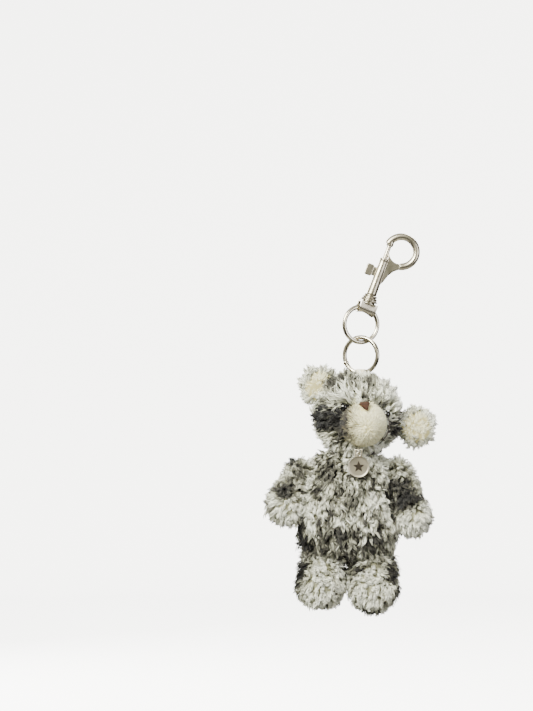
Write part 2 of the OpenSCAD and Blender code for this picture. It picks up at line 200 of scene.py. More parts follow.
def nickel(name, tone, dull, low, high):
    """Nickel plate: warm grey metal, hardly rough, with cloudy handling marks and hairline scratches."""
    material, tree, shader = new_material(name, metallic=1.0)
    coords = add(tree, "TexCoord").outputs["Object"]
    cloud = add(tree, "TexNoise", [("Vector", coords)], scale=per_mm(4.0), detail=4.0).outputs["Fac"]
    colour = add(tree, "ValToRGB", [("Fac", cloud)], [(0.3, dull), (0.65, tone)])
    haze = add(tree, "MapRange", [("Value", cloud)], from_min=0.3, from_max=0.7, to_min=high, to_max=low)
    # A turned and stretched noise makes the hairlines, which run up the snap.
    stretch = add(tree, "Mapping", [("Vector", coords)], rotation=(0.4, 0.2, 0.35), scale=(1.0, 1.0, 0.12))
    scratch = add(tree, "TexNoise", [("Vector", stretch.outputs[0])], scale=per_mm(0.5), detail=3.0)
    relief = add(tree, "Bump", [("Height", scratch.outputs["Fac"])], strength=0.05, distance=0.02 * MM)
    feed(tree, shader, base_color=colour.outputs["Color"], roughness=haze.outputs[0],
         normal=relief.outputs[0])
    return material


def fibre_material(name, light, dark, thread_mm, turn=0.0, rough=0.75, sheen=0.2):
    """Spun thread or tape woven from it: ribs a thread apart, one way along it and one way across, darker in
    the grooves between them with painted shade.
    """
    material, tree, shader = new_material(name, roughness=rough, sheen_weight=sheen)
    coords = add(tree, "TexCoord").outputs["Object"]
    turned = add(tree, "Mapping", [("Vector", coords)], rotation=(0.0, 0.0, turn)).outputs[0]
    ribs = [
        add(tree, "TexWave", [("Vector", turned)], bands_direction=way, scale=per_mm(thread_mm) / math.tau,
            distortion=0.6, detail=1.0).outputs["Fac"]
        for way in "XZ"]
    weave = add(tree, "Math", [(0, ribs[0]), (1, ribs[1])], operation="MULTIPLY").outputs[0]
    # Painted shade: the low parts of the weave, the grooves between threads, take the dark tone.
    colour = add(tree, "ValToRGB", [("Fac", weave)], [(0.0, dark), (0.6, light)])
    relief = add(tree, "Bump", [("Height", weave)], strength=0.5, distance=0.12 * MM)
    feed(tree, shader, base_color=colour.outputs["Color"], normal=relief.outputs[0])
    return material


def moulded(name, tone, dark, rough, coat=0.0):
    """Moulded plastic: even colour with a faint cloudiness and flow marks."""
    material, tree, shader = new_material(name, coat_weight=coat)
    coords = add(tree, "TexCoord").outputs["Object"]
    cloud = add(tree, "TexNoise", [("Vector", coords)], scale=per_mm(2.0), detail=3.0).outputs["Fac"]
    colour = add(tree, "ValToRGB", [("Fac", cloud)], [(0.35, dark), (0.65, tone)])
    haze = add(tree, "MapRange", [("Value", cloud)], from_min=0.3, from_max=0.7, to_min=rough,
               to_max=rough * 1.5)
    relief = add(tree, "Bump", [("Height", cloud)], strength=0.05, distance=0.03 * MM)
    feed(tree, shader, base_color=colour.outputs["Color"], roughness=haze.outputs[0],
         normal=relief.outputs[0])
    return material


# Acrylic pile, tie-dyed from cream to charcoal: soft, with near-black locks.
dyed_pile = pile_material(
    "tie_dyed_curly_pile",
    [(0.0, "#F6F6EA"), (0.2, "#E2E1D1"), (0.42, "#A09F8E"), (0.65, "#4C4A42"), (1.0, "#0F0D0E")], "#A9A893")
# Undyed pile in the ears: cream, and warmer than the rest.
ear_pile = pile_material(
    "undyed_ear_pile",
    [(0.0, "#FDF9DA"), (0.4, "#E6E1BF"), (0.8, "#8C8872"), (1.0, "#4A463C")], "#B5AD8A")
# Short sheared pile: the palest part of the bear, with the dye creeping in at one side.
muzzle_pile = pile_material(
    "short_brushed_muzzle_pile",
    [(0.0, "#FFFAD6"), (0.35, "#D0C9A4"), (0.7, "#645D4C"), (1.0, "#1E1A19")], "#DAD5B4", rough=0.7)
# Nickel plate: duller on the tumbled casting, brighter on drawn wire and on the pressed charm.
cast_nickel = nickel("nickel_plate_on_casting", "#C2BBAA", "#989080", 0.22, 0.36)
wire_nickel = nickel("nickel_plate_on_wire", "#C9C2B1", "#A59D8C", 0.15, 0.26)
charm_nickel = nickel("polished_charm_nickel", "#D6CDBA", "#BDB4A0", 0.3, 0.42)
relief_metal = nickel("blackened_relief", "#4B443B", "#2C2722", 0.4, 0.6)
spring_wire = nickel("bright_spring_wire", "#BDBBB6", "#96948F", 0.2, 0.35)
# Cotton tape and polyester threads: matt, ribbed by their own yarns.
tape = fibre_material("woven_cotton_tape", "#F1EBD8", "#C2B89B", 0.45, turn=0.45)
thread = fibre_material("twisted_polyester_thread", "#F2ECDA", "#BDB292", 0.3)
satin = fibre_material("rust_satin_stitch", "#4A2300", "#1C0C00", 0.35, rough=0.9, sheen=0.0)
# Painted shade: a dark strand for the shadowed gap at the right of the muzzle.
shade_line_thread = fibre_material("painted_shade_line_thread", "#3B302B", "#1C1614", 0.3)
# Glossy black eyes, and the plain nylon washers behind them.
bead = moulded("black_glass_bead", "#0D0B0B", "#070606", 0.06, coat=0.6)
washer = moulded("moulded_nylon", "#E6E4DC", "#D6D3C8", 0.45)


# ---------------------------------------------------------------- modelling helpers

def fresh():
    """Deselects everything, so that the next operator acts on its own piece only."""
    if bpy.context.object and bpy.context.object.mode != "OBJECT":
        bpy.ops.object.mode_set(mode="OBJECT")
    bpy.ops.object.select_all(action="DESELECT")


def copy_of(name, *nodes):
    """One new mesh from copies of CAD nodes, each merged into a closed surface."""
    fresh()
    for node in nodes:
        mesh = frame["nodes"][node].data.copy()
        mesh.materials.clear()
        piece = bpy.data.objects.new(name, mesh)
        bpy.context.scene.collection.objects.link(piece)
        piece.select_set(True)
    bpy.context.view_layer.objects.active = piece
    if len(nodes) > 1:
        bpy.ops.object.join()
    piece.name = piece.data.name = name
    bpy.ops.object.mode_set(mode="EDIT")
    bpy.ops.mesh.select_all(action="SELECT")
    bpy.ops.mesh.remove_doubles(threshold=0.000005)
    bpy.ops.object.mode_set(mode="OBJECT")
    return piece


def join_to(piece, others):
    fresh()
    for other in others:
        other.select_set(True)
    piece.select_set(True)
    bpy.context.view_layer.objects.active = piece
    bpy.ops.object.join()


def apply_all(piece):
    fresh()
    piece.select_set(True)
    bpy.context.view_layer.objects.active = piece
    for modifier in list(piece.modifiers):
        bpy.ops.object.modifier_apply(modifier=modifier.name)


def remeshed(piece, voxel, relax, grow=0.0):
    """Voxels voxel mm wide, then relax rounds of smoothing, then grown outwards by grow mm."""
    remesh = piece.modifiers.new("voxels", "REMESH")
    remesh.mode = "VOXEL"
    remesh.voxel_size = voxel * MM
    smooth = piece.modifiers.new("relax", "SMOOTH")
    smooth.factor = 0.5
    smooth.iterations = relax
    if grow:
        swell = piece.modifiers.new("swell", "DISPLACE")
        swell.strength = grow * MM
        swell.mid_level = 0.0
    apply_all(piece)
    bpy.ops.object.shade_smooth()


def place(piece, body, slot, material, *nodes):
    piece.data.materials.clear()
    piece.data.materials.append(material)
    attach(piece, body)
    if nodes:
        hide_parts(*nodes)


def turned_ring(centre, axis, radius, wire):
    """A round ridge about an axis, with its place in its mesh."""
    fresh()
    turn = Vector(axis).to_track_quat("Z", "Y").to_euler()
    bpy.ops.mesh.primitive_torus_add(major_radius=radius * MM, minor_radius=wire * MM, major_segments=96,
                                     minor_segments=16, location=Vector(centre) * MM, rotation=turn)
    bpy.ops.object.transform_apply(location=True, rotation=True, scale=True)
    return bpy.context.object


def node_finish(node, material):
    """A CAD node shown as it is, with its real finish."""
    piece = frame["nodes"][node]
    piece.data.materials.clear()
    piece.data.materials.append(material)


# ---------------------------------------------------------------- bolt snap, rings and charm

# Ridges cast round the swivel's collar, in mm: (below the barrel's foot, radius, radius of the ridge).
COLLAR_RIDGES = [(0.6, 2.95, 0.4), (1.9, 3.4, 0.45), (3.1, 3.9, 0.45), (4.65, 3.85, 0.5)]


def make_snap():
    # Die castings have rounded edges and fillets at every joint.
    casting = copy_of("snap_casting", "hook_body")
    remeshed(casting, voxel=0.2, relax=10)
    place(casting, "hook", "nickel_casting", cast_nickel, "hook_body")

    knob = copy_of("knob_casting", "thumb_knob")
    remeshed(knob, voxel=0.12, relax=16)
    place(knob, "bolt", "nickel_casting", cast_nickel, "thumb_knob")

    eye = copy_of("swivel_casting", "swivel_eye")
    ridges = [turned_ring(BARREL_FOOT - down * SNAP_UP, SNAP_UP, radius, wire)
              for down, radius, wire in COLLAR_RIDGES]
    join_to(eye, ridges)
    remeshed(eye, voxel=0.17, relax=4)
    place(eye, "swivel", "nickel_casting", cast_nickel, "swivel_eye")

    for node in ("bolt", "swivel_stud"):
        node_finish(node, cast_nickel)
    # The spring is squeezed between the barrel's foot and the bolt.
    spring = copy_of("spring_coil", "bolt_spring")
    bpy.ops.object.shade_smooth()
    spring.data.materials.append(spring_wire)
    along = (corners_of(spring.data) - BARREL_FOOT) @ SNAP_UP
    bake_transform(spring)
    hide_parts("bolt_spring")
    for node in ("ring_upper", "ring_lower"):
        node_finish(node, wire_nickel)


def make_charm():
    """A pressed disc with a rolled rim and a sunk face, and its ring lug."""
    fresh()
    radius, thick = half("charm_disc")[0], 2 * half("charm_disc")[1]
    bpy.ops.mesh.primitive_cylinder_add(vertices=96, radius=radius * MM, depth=thick * MM,
                                        location=Vector(CHARM) * MM, rotation=(math.radians(90), 0, 0))
    bpy.ops.object.transform_apply(location=True, rotation=True, scale=True)
    disc = bpy.context.object
    disc.name = disc.data.name = "charm_disc_pressed"
    rim_and_bevel = [(0.7, 0.28), (0.25, 0.02)]  # each inset, and how far it is pushed in
    for step_in, sink in rim_and_bevel:
        bpy.ops.object.mode_set(mode="EDIT")
        bpy.ops.mesh.select_mode(type="FACE")
        bpy.ops.mesh.select_all(action="DESELECT")
        bpy.ops.object.mode_set(mode="OBJECT")
        face = max((f for f in disc.data.polygons if f.normal.y < -0.9), key=lambda f: f.area)
        face.select = True
        bpy.ops.object.mode_set(mode="EDIT")
        bpy.ops.mesh.inset(thickness=step_in * MM)
        bpy.ops.transform.translate(value=(0, sink * MM, 0))
        bpy.ops.object.mode_set(mode="OBJECT")
    bevel = disc.modifiers.new("worn_edges", "BEVEL")
    bevel.width = 0.14 * MM
    bevel.segments = 3
    bevel.limit_method = "ANGLE"
    bevel.angle_limit = math.radians(30)
    apply_all(disc)
    lug_radius, lug_wire = 0.95, 0.32
    lug_middle = at("charm_disc", 0, 0, 1) - [0, 0, lug_radius + lug_wire]
    lug = turned_ring(lug_middle, (0, 1, 0), lug_radius, lug_wire)
    join_to(disc, [lug])
    bpy.ops.object.shade_smooth_by_angle(angle=math.radians(35))
    place(disc, "charm", "nickel_charm", charm_nickel, "charm_disc")
    node_finish("charm_ring", charm_nickel)
    node_finish("charm_motif", relief_metal)
    node_finish("charm_thread", thread)


def make_tab():
    """Folded tape with soft edges, tacked down at the crown."""
    strip = copy_of("tape_tab", "ribbon_tab")
    remeshed(strip, voxel=0.13, relax=3)
    place(strip, "head", "cotton_tape", tape, "ribbon_tab")
    node_finish("tab_stitching", thread)


# ---------------------------------------------------------------- strands

def strands(name, paths, up, widths, flat=0.55, sides=3):
    """Tapered strands along paths (strands, rings, 3), closed at both ends: the piece, and each one's points.

    The last ring is the tip. up is each strand's upper side, and flat its thickness over its width.
    """
    count, rings = paths.shape[:2]
    t = np.linspace(0, 1, rings)
    run = unit(np.gradient(paths, axis=1))
    side = unit(np.cross(run, up[:, None, :]))
    lift = np.cross(side, run)
    width = widths[:, None] / 2 * np.interp(t[:-1], [0, 0.25, 0.7, 1], [0.75, 1.05, 0.95, 0.5])
    angles = math.pi / 2 + 2 * math.pi * np.arange(sides) / sides
    loops = np.stack([
        paths[:, :-1] + side[:, :-1] * (width * math.cos(a))[..., None]
        + lift[:, :-1] * (width * flat * math.sin(a))[..., None] for a in angles], axis=2)
    points = np.concatenate([loops.reshape(count, -1, 3), paths[:, -1:]], axis=1)
    each = points.shape[1]
    around = [(k, (k + 1) % sides) for k in range(sides)]
    quads = [[r * sides + b, r * sides + a, (r + 1) * sides + a, (r + 1) * sides + b]
             for r in range(rings - 2) for a, b in around]
    last = (rings - 2) * sides
    tris = [[last + b, last + a, each - 1] for a, b in around]
    tris += [[0, k, k + 1] for k in range(1, sides - 1)]
    offset = (np.arange(count) * each)[:, None, None]
    quads = (np.array(quads)[None] + offset).reshape(-1, 4)
    tris = (np.array(tris)[None] + offset).reshape(-1, 3)

    mesh = bpy.data.meshes.new(name)
    mesh.vertices.add(count * each)
    mesh.vertices.foreach_set("co", (points * MM).astype(np.float32).ravel())
    mesh.loops.add(quads.size + tris.size)
    corners = np.concatenate([quads.ravel(), tris.ravel()])
    mesh.loops.foreach_set("vertex_index", corners.astype(np.int32))
    mesh.polygons.add(len(quads) + len(tris))
    starts = np.concatenate([np.arange(len(quads)) * 4, quads.size + np.arange(len(tris)) * 3])
    mesh.polygons.foreach_set("loop_start", starts.astype(np.int32))
    mesh.polygons.foreach_set("use_smooth", np.ones(len(starts), bool))
    mesh.update(calc_edges=True)
    piece = bpy.data.objects.new(name, mesh)
    bpy.context.scene.collection.objects.link(piece)
    put_values(piece, "along", np.tile(np.concatenate([np.repeat(t[:-1], sides), [1.0]]), count))
    return piece, each


def put_values(piece, name, values):
    layer = piece.data.attributes.new(name, "FLOAT", "POINT")
    layer.data.foreach_set("value", np.asarray(values, np.float32).ravel())


def roots_on(skin, spacing, seed):
    """Scattered points on a skin, one to a cell, with their outward directions."""
    mesh = skin.data
    mesh.calc_loop_triangles()
    points = corners_of(mesh)
    outward = np.array([v.normal for v in mesh.vertices])
    tris = np.array([t.vertices for t in mesh.loop_triangles])
    a, b, c = (points[tris[:, k]] for k in range(3))
    area = np.linalg.norm(np.cross(b - a, c - a), axis=1) / 2
    rng = np.random.default_rng(seed)
    count = int(area.sum() / spacing**2 * 8)
    pick = rng.choice(len(tris), count, p=area / area.sum())
    r1, r2 = np.sqrt(rng.random(count)), rng.random(count)
    weights = np.stack([1 - r1, r1 * (1 - r2), r1 * r2], axis=1)
    where = np.einsum("ij,ijk->ik", weights, points[tris[pick]])
    away = unit(np.einsum("ij,ijk->ik", weights, outward[tris[pick]]))
    cell = np.floor(where / spacing + rng.random(3)).astype(np.int64)
    first = np.unique(cell, axis=0, return_index=True)[1]
    first = rng.permutation(first)
    return where[first], away[first], rng


def noise_at(points, size_mm, shift=0.0):
    """Smooth noise from about -1 to 1, with features size_mm across."""
    return np.array([noise.noise(Vector(p / size_mm + shift)) for p in points])


def swirl_at(points, size_mm, shift=0.0):
    return np.array([noise.noise_vector(Vector(p / size_mm + shift)) for p in points])


def outside(points, skins, depth):
    """Which points are not deeper than depth mm inside any of the skins."""
    keep = np.ones(len(points), bool)
    for skin in skins:
        mesh = skin.data
        tree = BVHTree.FromPolygons([v.co for v in mesh.vertices], [f.vertices for f in mesh.polygons])
        for i, point in enumerate(points):
            where, normal, _, far = tree.find_nearest(Vector(point * MM))
            if (Vector(point * MM) - where).dot(normal) < 0 and far > depth * MM:
                keep[i] = False
    return keep


# ---------------------------------------------------------------- tie-dye

# Dark patches: (centre, radius in mm, strength). Dye above 0.7 is near black.
DARK = [
    (at("head_cover", -0.8, 0.6, -0.06), 9.0, 1.0),
    (at("head_cover", -0.45, 0.85, -0.1), 6.0, 1.0),
    (at("head_cover", -0.42, 0.85, -0.5), 5.5, 0.75),
    (at("head_cover", 1.02, 0.45, -0.42), 7.0, 1.0),
    (at("head_cover", 0.85, 0.6, -0.35), 4.0, 0.7),
    (at("head_cover", 0.35, 0.65, 0.7), 6.0, 0.7),
    (at("eye_left", -0.3, 0.0, -0.3), 5.0, 1.0),
    (at("head_cover", 0.1, -0.8, 0.35), 11.0, 0.9),
    (at("head_cover", -0.5, -0.75, -0.4), 8.0, 0.8),
    (at("body_cover", -0.42, 0.75, 0.7), 6.5, 0.65),
    (at("body_cover", -0.2, 0.95, 0.35), 6.0, 0.5),
    (at("body_cover", 0.3, 0.9, 0.6), 5.5, 0.5),
    (at("body_cover", 0.05, 1.0, 0.15), 6.0, 0.6),
    (at("body_cover", -0.98, 0.2, -0.4), 6.5, 0.95),
    (at("body_cover", -1.0, 0.4, -0.7), 9.0, 1.0),
    (at("body_cover", 0.12, 1.0, -0.45), 5.0, 0.65),
    (at("body_cover", -0.53, 0.8, -0.8), 6.5, 0.65),
    (at("body_cover", 0.7, 0.75, -0.6), 5.5, 0.55),
    (at("body_cover", 0.2, -0.9, 0.3), 11.0, 0.9),
    (at("body_cover", -0.5, -0.9, -0.4), 9.0, 0.8),
    (at("arm_left_cover", -0.15, 0.9, 0.15), 7.0, 0.8),
    (at("arm_left_cover", 0.35, 0.5, 0.65), 5.0, 0.6),
    (at("arm_left_cover", 0.2, -0.8, 0.1), 7.0, 0.8),
    (at("arm_right_cover", -0.15, 0.85, 0.0), 7.5, 1.0),
    (at("arm_right_cover", 0.1, 0.7, 0.45), 5.5, 0.6),
    (at("arm_right_cover", 0.1, -0.8, 0.3), 7.0, 0.8),
    (at("leg_left_cover", -0.95, 0.35, 0.3), 8.5, 1.0),
    (at("leg_right_cover", 0.85, 0.5, 0.4), 6.5, 0.85),
    (at("leg_right_cover", 0.95, 0.35, -0.35), 5.5, 0.7),
    (at("leg_left_cover", 0.2, -0.9, 0.2), 7.0, 0.8),
]
# Places that the dye missed: (centre, radius in mm).
PALE = [
    (at("arm_left_cover", -0.2, 0.7, -0.6), 7.0),
    (at("arm_right_cover", 0.3, 0.7, -0.65), 8.5),
    (at("leg_left_cover", 0.0, 0.9, -0.2), 10.0),
    (at("leg_right_cover", -0.1, 0.9, -0.2), 7.5),
    (at("head_cover", 0.1, 0.7, -0.9), 12.0),
    (at("head_cover", 0.5, 0.6, 0.55), 6.0),
]


def reached(points, centre, radius):
    """1 well within a patch, falling to 0 a little past its edge."""
    far = np.linalg.norm(points - centre, axis=1) / radius
    return np.clip(1.6 * (1.15 - far), 0, 1)


def dye_at(points, mottle):
    """How dark the dye is at each point: soft ragged patches over a mottle."""
    moved = points + swirl_at(points, 6.0, 3.1) * 2.6 + swirl_at(points, 2.4, 7.7) * 1.2
    dye, pale = np.zeros(len(points)), np.zeros(len(points))
    for centre, radius, strength in DARK:
        dye = np.maximum(dye, strength * reached(moved, centre, radius))
    for centre, radius in PALE:
        pale = np.maximum(pale, reached(moved, centre, radius))
    spots = (noise_at(points, 4.2, 11.0) * 0.8 + noise_at(points, 10.0, 5.0) * 0.7
             + noise_at(points, 1.9, 2.0) * 0.3)
    blotch = np.clip(0.28 + 1.3 * spots, 0, 0.85) * mottle
    return np.clip(np.maximum(dye, blotch * (1 - pale)) * (1 - 0.45 * pale), 0, 1)


# ---------------------------------------------------------------- curly pile

RINGS = 6            # points along a strand
TUFT_RADIUS = 0.95   # of a tuft at its root
CURL_TURNS = 1.2     # of a tuft, from root to tip
STRAY = 0.35         # how far the tufts' lie wanders
PIECE_STRANDS = 6500


def pile(name, skin, body, comb_at, seed, spacing=1.8, share=8, length=4.6, rise=3.6, width=0.6, curl=0.6,
         swirl=0.9, mottle=1.0, trim=None, keep=None, material=None, slot="dyed_plush"):
    """Curly tufts over a skin: share strands to a tuft, combed along comb_at and curling together.

    A tuft runs length mm along the skin and rises rise mm off it, trim scales it, and keep picks the roots.
    """
    roots, away, rng = roots_on(skin, spacing, seed)
    if keep is not None:
        kept = keep(roots)
        roots, away = roots[kept], away[kept]
    tufts = len(roots)
    comb = comb_at(roots) + swirl * swirl_at(roots, 6.0, seed) + STRAY * rng.normal(size=roots.shape)
    comb = comb - np.sum(comb * away, axis=1, keepdims=True) * away
    lean = np.clip(np.linalg.norm(comb, axis=1), 0.25, 1.0)
    comb = unit(comb)
    clump = noise_at(roots, 5.0, seed + 20.0)
    short = np.ones(tufts) if trim is None else trim(roots)
    tuft_length = length * lean * rng.uniform(0.7, 1.2, tufts) * (1 + 0.3 * clump) * short
    tuft_rise = rise * (1.15 - 0.2 * lean) * rng.uniform(0.6, 1.15, tufts) * (1 + 0.4 * clump) * short
    tuft_phase = rng.uniform(0, math.tau, tufts)
    tuft_turns = CURL_TURNS * rng.uniform(0.7, 1.3, tufts)
    tuft_curl = curl * rng.uniform(0.6, 1.4, tufts)

    # Each strand starts somewhere in its tuft and follows the tuft's curl, a little out of step.
    which = np.repeat(np.arange(tufts), share)
    count = len(which)
    comb, away = comb[which], away[which]
    across = np.cross(away, comb)
    out = TUFT_RADIUS * np.sqrt(rng.random(count))
    turn = rng.uniform(0, math.tau, count)
    base = comb * (out * np.cos(turn))[:, None] + across * (out * np.sin(turn))[:, None]
    t = np.linspace(0, 1, RINGS)[None, :, None]
    phase = tuft_phase[which] + rng.normal(size=count) * 0.5
    wave = math.tau * tuft_turns[which][:, None, None] * t + phase[:, None, None]
    coil = np.clip(2 * t, 0, 1) * tuft_curl[which][:, None, None]
    long = (tuft_length[which] * rng.uniform(0.75, 1.1, count))[:, None, None]
    high = (tuft_rise[which] * rng.uniform(0.75, 1.15, count))[:, None, None]
    paths = (roots[which] - 0.5 * away)[:, None, :] + base[:, None, :] * (1 - 0.35 * t)
    paths = paths + comb[:, None, :] * long * t**1.2 + away[:, None, :] * high * (1 - (1 - t) ** 1.9)
    paths = paths + across[:, None, :] * np.sin(wave) * coil + away[:, None, :] * np.cos(wave) * coil * 0.6
    starts = roots[which] + base
    dye = np.clip(dye_at(starts, mottle) + rng.normal(size=count) * 0.06, 0, 1)
    tint = np.clip(0.55 + 0.3 * clump[which] + rng.normal(size=count) * 0.25, 0, 1)
    widths = width * rng.uniform(0.7, 1.3, count)

    # A large pile is split by height into pieces of a workable size.
    order = np.argsort(roots[which][:, 2], kind="stable")
    parts = max(1, math.ceil(count / PIECE_STRANDS))
    for number, part in enumerate(np.array_split(order, parts)):
        label = name if parts == 1 else f"{name}_{number + 1}"
        piece, each = strands(label, paths[part], away[part], widths[part])
        put_values(piece, "dye", np.repeat(dye[part], each))
        put_values(piece, "tint", np.repeat(tint[part], each))
        place(piece, body, slot, material or dyed_pile)


def from_point(point, calm=0.0):
    """Comb directions that lead away from a point, and stand upright within about calm mm of it."""
    return lambda roots: (roots - point) / (np.linalg.norm(roots - point, axis=1, keepdims=True) + calm)


def down(roots):
    return np.tile(np.array([0.0, 0.0, -1.0]), (len(roots), 1))


def hanging(point):
    """Comb directions of a limb: downwards, and a little away from its padded end."""
    return lambda roots: 0.75 * down(roots) + 0.55 * from_point(point, 5)(roots)


def clear_of(point, radius, axis=None):
    """Keeps roots further than radius from a point, or from a line through it along axis."""
    def keep(roots):
        gap = roots - point
        if axis is not None:
            gap = gap - np.outer(gap @ axis, axis)
        return np.linalg.norm(gap, axis=1) > radius
    return keep


def stuffed_skin(name, filling, voxel=1.0, grow=1.0, mottle=1.0):
    """The knitted backing of a stuffed part, drawn tight over its filling."""
    skin = copy_of(name, filling)
    remeshed(skin, voxel, relax=6, grow=grow)
    points = corners_of(skin.data)
    # The backing takes the root tone of the pile, painted shade included, and a dye a step darker than the
    # pile's.
    put_values(skin, "along", np.full(len(points), 0.1))
    put_values(skin, "dye", np.clip(dye_at(points, mottle) + 0.15, 0, 1))
    put_values(skin, "tint", np.full(len(points), 0.3))
    return skin


PART_BODIES = {"head": "head", "body": "torso", "arm_left": "arm_left", "arm_right": "arm_right",
               "leg_left": "leg_left", "leg_right": "leg_right"}


def make_skins():
    skins = {}
    for part, body in PART_BODIES.items():
        skin = stuffed_skin(f"{part}_skin", f"{part}_stuffing")
        place(skin, body, "dyed_plush", dyed_pile, f"{part}_cover", f"{part}_stuffing")
        skins[part] = skin
    return skins


def make_head_pile(skins):
    """Long pile combed away from the muzzle, and clipped round it, round the right eye and at the tab, and
    left longer over the left eye.
    """
    eye, shy_eye = middle("eye_right"), middle("eye_left")
    tab = at("ribbon_tab", 0, 0, -0.5)

    def face_keep(roots):
        front = (roots - HEAD) @ MUZZLE_AXIS > 0
        ring = clear_of(HEAD, MUZZLE_R - 1.8, MUZZLE_AXIS)(roots) | ~front
        return (ring & clear_of(eye, 1.9)(roots) & clear_of(tab, 2.4)(roots)
                & outside(roots, [skins["body"]], 2.5))

    def face_trim(roots):
        near = np.linalg.norm(np.cross(roots - HEAD, MUZZLE_AXIS), axis=1) - MUZZLE_R
        front = (roots - HEAD) @ MUZZLE_AXIS > 0
        low = roots[:, 2] < MUZZLE[2] - 5
        short = np.where(front & ~low, np.interp(near, [0, 5], [0.55, 1.0]), 1.0)
        short = np.where(clear_of(eye, 4.0)(roots), short, 0.55)
        # The left eye is half hidden.
        short = np.where(clear_of(shy_eye, 5.5)(roots), short, 1.45)
        return np.where(clear_of(tab, 6.0)(roots), short, 0.5)

    pile("head_pile", skins["head"], "head", from_point(MUZZLE), 11, length=5.8, rise=4.4, mottle=0.85,
         trim=face_trim, keep=face_keep)


def make_trunk_pile(skins):
    low = box_mm("body_cover")[0][2]

    def chest_trim(roots):
        # Short behind the charm, long under the hips.
        gap = np.linalg.norm((roots - CHARM)[:, [0, 2]], axis=1)
        chest = np.where(roots[:, 1] < 0, np.interp(gap, [4, 9], [0.5, 1.0]), 1.0)
        return chest * np.interp(roots[:, 2] - low, [0, 10], [1.5, 1.0])

    others = [skins[k] for k in ("head", "arm_left", "arm_right", "leg_left", "leg_right")]
    pile("trunk_pile", skins["body"], "torso", down, 12, length=5.6, rise=3.9, trim=chest_trim,
         keep=lambda roots: outside(roots, others, 2.5))


def make_limb_piles(skins):
    clear_of_trunk = lambda roots: outside(roots, [skins["body"]], 2.5)
    for side, turn in (("left", 1), ("right", 2)):
        hand = at(f"arm_{side}_cover", 0.1 if side == "right" else -0.1, 0.9, -0.45)
        pile(f"arm_{side}_pile", skins[f"arm_{side}"], f"arm_{side}", hanging(hand), 20 + turn, length=4.8,
             share=7, width=0.56, spacing=1.6, rise=3.0, keep=clear_of_trunk)
        foot = at(f"leg_{side}_cover", 0, 0.9, -0.25)
        top = box_mm(f"leg_{side}_cover")[1][2]
        pile(f"leg_{side}_pile", skins[f"leg_{side}"], f"leg_{side}", hanging(foot), 30 + turn, length=4.8,
             share=7, width=0.56, spacing=1.6, rise=3.1, keep=clear_of_trunk,
             trim=lambda roots: np.interp(top - roots[:, 2], [0, 10], [1.5, 1.0]))


def make_ears(skins):
    """Ear pads with a shaggy rolled rim round a flatter cream lining."""
    head = [skins["head"]]
    forward = np.array([0, 1.0, 0])
    for side, seed in (("left", 41), ("right", 42)):
        ear = copy_of(f"ear_{side}_pad", f"ear_{side}", f"ear_{side}_lining")
        remeshed(ear, voxel=0.7, relax=5)
        points = corners_of(ear.data)
        # The pad takes the root tone of its pile, painted shade included.
        for key, value in (("along", 0.1), ("dye", 0.15), ("tint", 0.4)):
            put_values(ear, key, np.full(len(points), value))
        place(ear, "head", "dyed_plush", ear_pile, f"ear_{side}", f"ear_{side}_lining")
        centre = middle(f"ear_{side}_lining")
        inner = lambda roots: (roots[:, 1] < centre[1]) & ~clear_of(centre, 6.0, forward)(roots)
        pile(f"ear_{side}_rim", ear, "head", from_point(centre + 2 * forward, 1), seed, length=4.4, rise=1.6,
             curl=0.45, width=0.5, spacing=1.5, mottle=0.6,
             keep=lambda roots: ~inner(roots) & outside(roots, head, 1.5))
        pile(f"ear_{side}_lining_pile", ear, "head", from_point(centre, 3), seed + 5, length=2.8, rise=0.8,
             curl=0.2, width=0.4, spacing=1.25, swirl=1.2, mottle=0.35, keep=inner, material=ear_pile,
             slot="ear_plush")


def muzzle_dye(points):
    """The dye creeps in over the muzzle's left side."""
    leftward = -(points - MUZZLE)[:, 0] / MUZZLE_R
    return np.clip((leftward - 0.28) * 1.9 + noise_at(points, 2.5) * 0.45, 0, 1)


